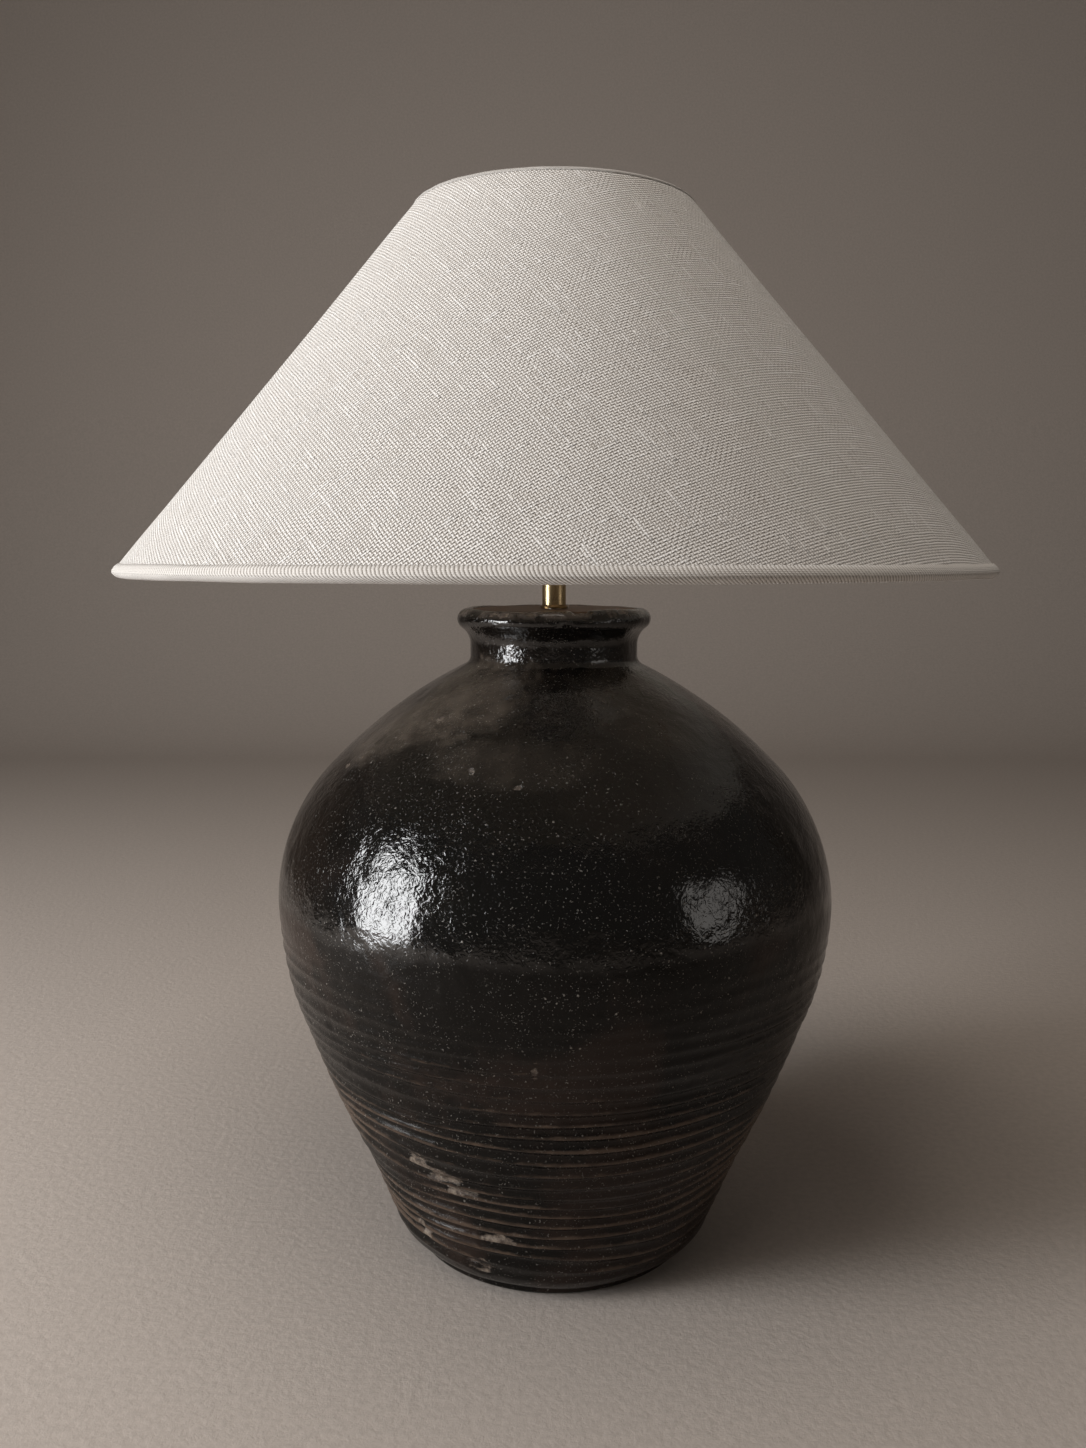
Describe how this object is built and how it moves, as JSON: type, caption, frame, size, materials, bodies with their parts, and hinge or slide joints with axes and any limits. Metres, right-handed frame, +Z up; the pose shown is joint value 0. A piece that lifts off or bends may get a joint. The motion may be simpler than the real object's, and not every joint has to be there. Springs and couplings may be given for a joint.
{
  "type": "table lamp",
  "caption": "Table lamp: a glazed stoneware ginger jar base with a wooden cap, brass neck, keyed bulb socket and harp, and a wide linen cone shade.",
  "frame": {"origin": "on the table under the middle of the jar's foot", "axes": "+Z up, -Y towards the viewer with the lead hole at +Y, +X to the viewer's right in the plane of the harp"},
  "size_m": [0.5613, 0.5614, 0.6931],
  "materials": {
    "stoneware_glaze": "black-brown glaze, glossy above the waist and satin with reddish ridges below",
    "felt": "dark wool felt",
    "rubber": "matt black rubber",
    "dark_wood": "dark stained wood with worn pale rim",
    "zinc_steel": "zinc plated steel",
    "aged_brass": "darkened brass",
    "satin_brass": "satin brass",
    "polished_brass": "brass",
    "fibre_board": "vulcanised fibre",
    "phenolic": "moulded phenolic",
    "solder": "solder",
    "black_glass": "vitreous insulator",
    "cap_metal": "rolled metal",
    "frosted_glass": "frosted white glass",
    "styrene": "white styrene sheet",
    "linen": "natural off-white coarse linen",
    "white_wire": "white lacquered wire"
  },
  "bodies": {
    "base": {"jar": "stoneware_glaze", "base_felt": "felt", "cord_grommet": "rubber", "wood_cap": "dark_wood", "lamp_pipe": "zinc_steel", "clamp_bar": "zinc_steel", "bar_pads": "rubber", "clamp_washer": "zinc_steel", "clamp_nut": "zinc_steel", "tube_collar": "aged_brass", "neck_tube": "satin_brass", "harp_saddle": "satin_brass", "saddle_nut": "satin_brass", "socket_cap": "polished_brass", "socket_shell": "polished_brass", "socket_liner": "fibre_board", "socket_block": "phenolic", "terminal_screws": "polished_brass", "centre_contact": "polished_brass", "screw_shell": "polished_brass"},
    "switch": {"switch_shaft": "zinc_steel", "switch_knob": "phenolic"},
    "bulb_tip": {"bulb_tip": "solder"},
    "bulb": {"bulb_insulator": "black_glass", "bulb_cap": "cap_metal", "bulb_glass": "frosted_glass"},
    "harp": {"harp": "satin_brass", "harp_stud": "satin_brass"},
    "ferrule_left": {"ferrule_left": "satin_brass"},
    "ferrule_right": {"ferrule_right": "satin_brass"},
    "shade": {"shade_liner": "styrene", "shade_cover": "linen", "shade_base_ring": "white_wire", "shade_top_ring": "white_wire", "shade_base_hem": "linen", "shade_top_hem": "linen", "shade_spider": "white_wire"},
    "finial_insert": {"finial_insert": "satin_brass"},
    "finial": {"finial": "satin_brass"}
  },
  "joints": [
    {"name": "switch_turn", "type": "hinge", "parent": "base", "child": "switch", "pos_m": [0, -0.022, 0.5135], "axis": [0, -1, 0], "continuous": true},
    {"name": "bulb_rise", "type": "slide", "parent": "base", "child": "bulb_tip", "axis": [0, 0, 1], "range_m": [0, 0.01089]},
    {"name": "bulb_turn", "type": "hinge", "parent": "bulb_tip", "child": "bulb", "pos_m": [0, 0, 0.5282], "axis": [0, 0, 1], "range_deg": [0, 1080]},
    {"name": "harp_lift", "type": "slide", "parent": "base", "child": "harp", "axis": [0, 0, 1], "range_m": [0, 0.015]},
    {"name": "ferrule_left_lift", "type": "slide", "parent": "harp", "child": "ferrule_left", "axis": [0, 0, 1], "range_m": [0, 0.012]},
    {"name": "ferrule_right_lift", "type": "slide", "parent": "harp", "child": "ferrule_right", "axis": [0, 0, 1], "range_m": [0, 0.012]},
    {"name": "shade_swivel", "type": "hinge", "parent": "harp", "child": "shade", "pos_m": [0, 0, 0.6668], "axis": [0, 0, 1], "continuous": true},
    {"name": "finial_rise", "type": "slide", "parent": "harp", "child": "finial_insert", "axis": [0, 0, 1], "range_m": [0, 0.00752]},
    {"name": "finial_turn", "type": "hinge", "parent": "finial_insert", "child": "finial", "pos_m": [0, 0, 0.6688], "axis": [0, 0, 1], "range_deg": [0, 2880]}
  ],
  "couplings": [
    {"joint": "bulb_turn", "follows": "bulb_rise", "rad_per_m": 1731.6},
    {"joint": "finial_turn", "follows": "finial_rise", "rad_per_m": 6679}
  ]
}
